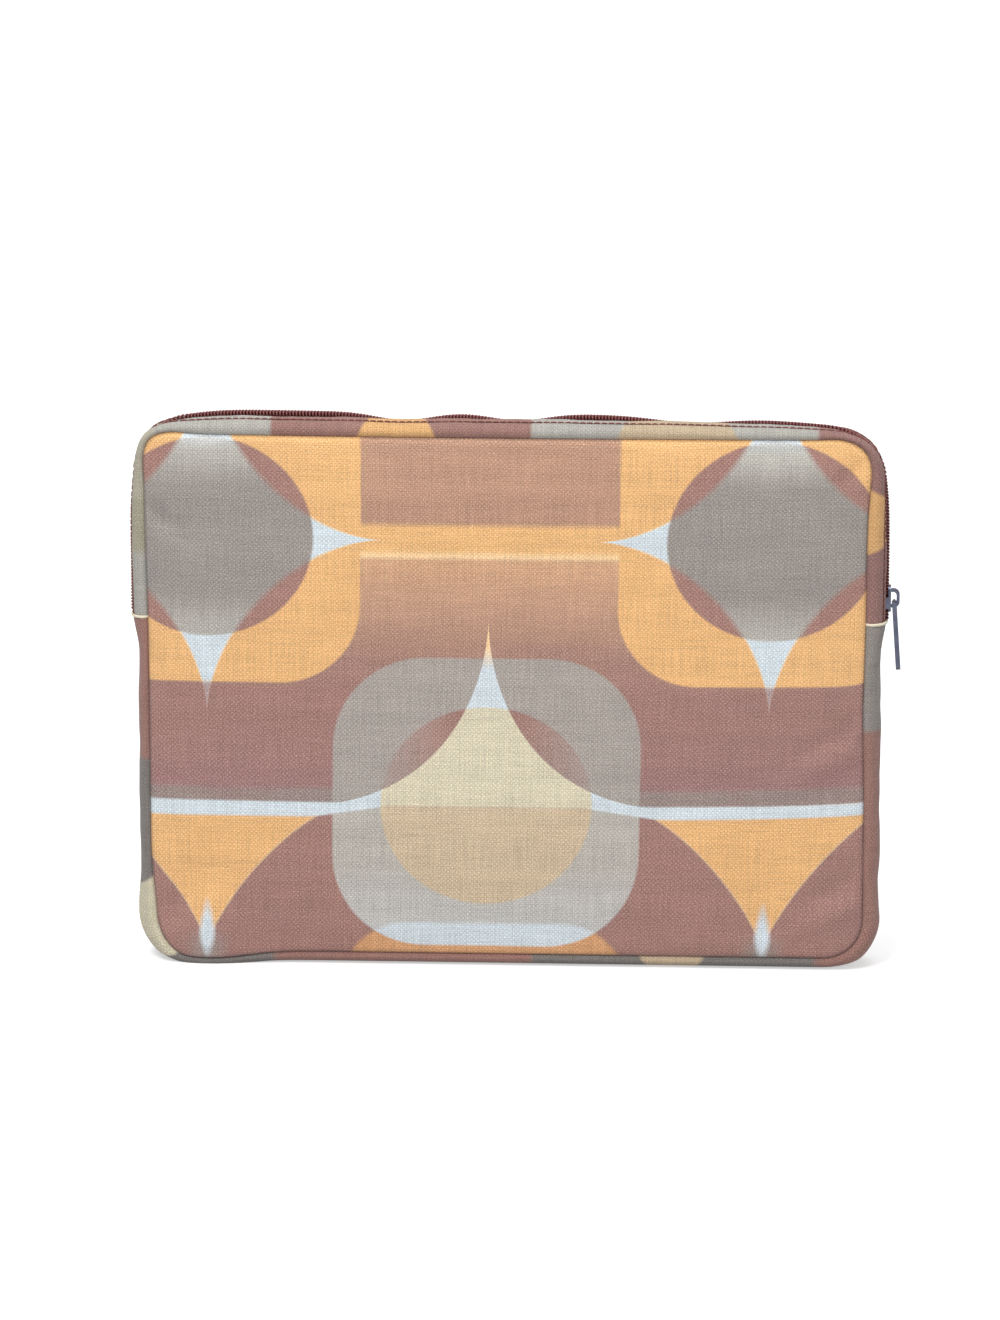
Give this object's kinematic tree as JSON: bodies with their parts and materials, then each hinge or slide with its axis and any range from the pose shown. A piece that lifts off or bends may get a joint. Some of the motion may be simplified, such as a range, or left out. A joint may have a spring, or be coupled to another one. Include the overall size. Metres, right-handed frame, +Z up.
{
  "type": "laptop sleeve",
  "caption": "Padded zip-around laptop sleeve in printed canvas, with a gusset, a coil zip, a sliding metal slider and a hanging pull tab.",
  "frame": {"origin": "middle of the flat strip under the gusset that the sleeve stands on", "axes": "+X across the width towards the slider's side, +Y from the front panel to the back panel, +Z up from the standing edge to the zip's top run"},
  "size_m": [0.3446, 0.03, 0.2542],
  "materials": {
    "printed_canvas": "plain-weave cotton canvas with a soft multicolour geometric print, matte",
    "lining": "smooth woven lining, slight sheen",
    "foam": "soft closed-cell padding, matte",
    "seam_edge": "rolled canvas edge, matte",
    "binding": "folded bias binding, matte",
    "zip_tape": "twill zip tape, matte",
    "zip_coil": "nylon coil, soft sheen",
    "thread": "polyester sewing thread, soft sheen",
    "zip_metal": "plated die-cast metal, polished with light wear"
  },
  "bodies": {
    "sleeve": {"back_panel": "printed_canvas", "back_foam": "foam", "back_lining": "lining", "front_panel_lower": "printed_canvas", "front_foam_lower": "foam", "front_lining_lower": "lining", "bottom_band": "printed_canvas", "bottom_band_lining": "lining", "end_seam_left": "seam_edge", "end_seam_right": "seam_edge", "zip_band_back": "printed_canvas", "zip_band_back_lining": "lining", "zip_tape_back": "zip_tape", "zip_coil_back": "zip_coil", "topstitch_back": "thread", "seam_binding_back": "binding", "zip_band_front_lower": "printed_canvas", "zip_band_front_lining_lower": "lining", "zip_tape_front_lower": "zip_tape", "zip_coil_front_lower": "zip_coil", "topstitch_front_lower": "thread", "seam_binding_front_lower": "binding"},
    "front_flap": {"front_panel_flap": "printed_canvas", "front_foam_flap": "foam", "front_lining_flap": "lining", "zip_band_front": "printed_canvas", "zip_band_front_lining": "lining", "zip_tape_front": "zip_tape", "zip_coil_front": "zip_coil", "topstitch_front": "thread", "seam_binding_front": "binding"},
    "slider": {"slider_body": "zip_metal", "slider_bridge": "zip_metal"},
    "pull": {"pull_tab": "zip_metal"}
  },
  "joints": [
    {"name": "mouth_open", "type": "hinge", "parent": "sleeve", "child": "front_flap", "pos_m": [0, -0.015, 0.178], "axis": [1, 0, 0], "range_deg": [0, 70]},
    {"name": "slider_travel", "type": "slide", "parent": "sleeve", "child": "slider", "axis": [0, 0, 1], "range_m": [0, 0.05]},
    {"name": "pull_swing", "type": "hinge", "parent": "slider", "child": "pull", "pos_m": [0.17215, 0, 0.1672], "axis": [0, -1, 0], "range_deg": [-4, 135]}
  ]
}
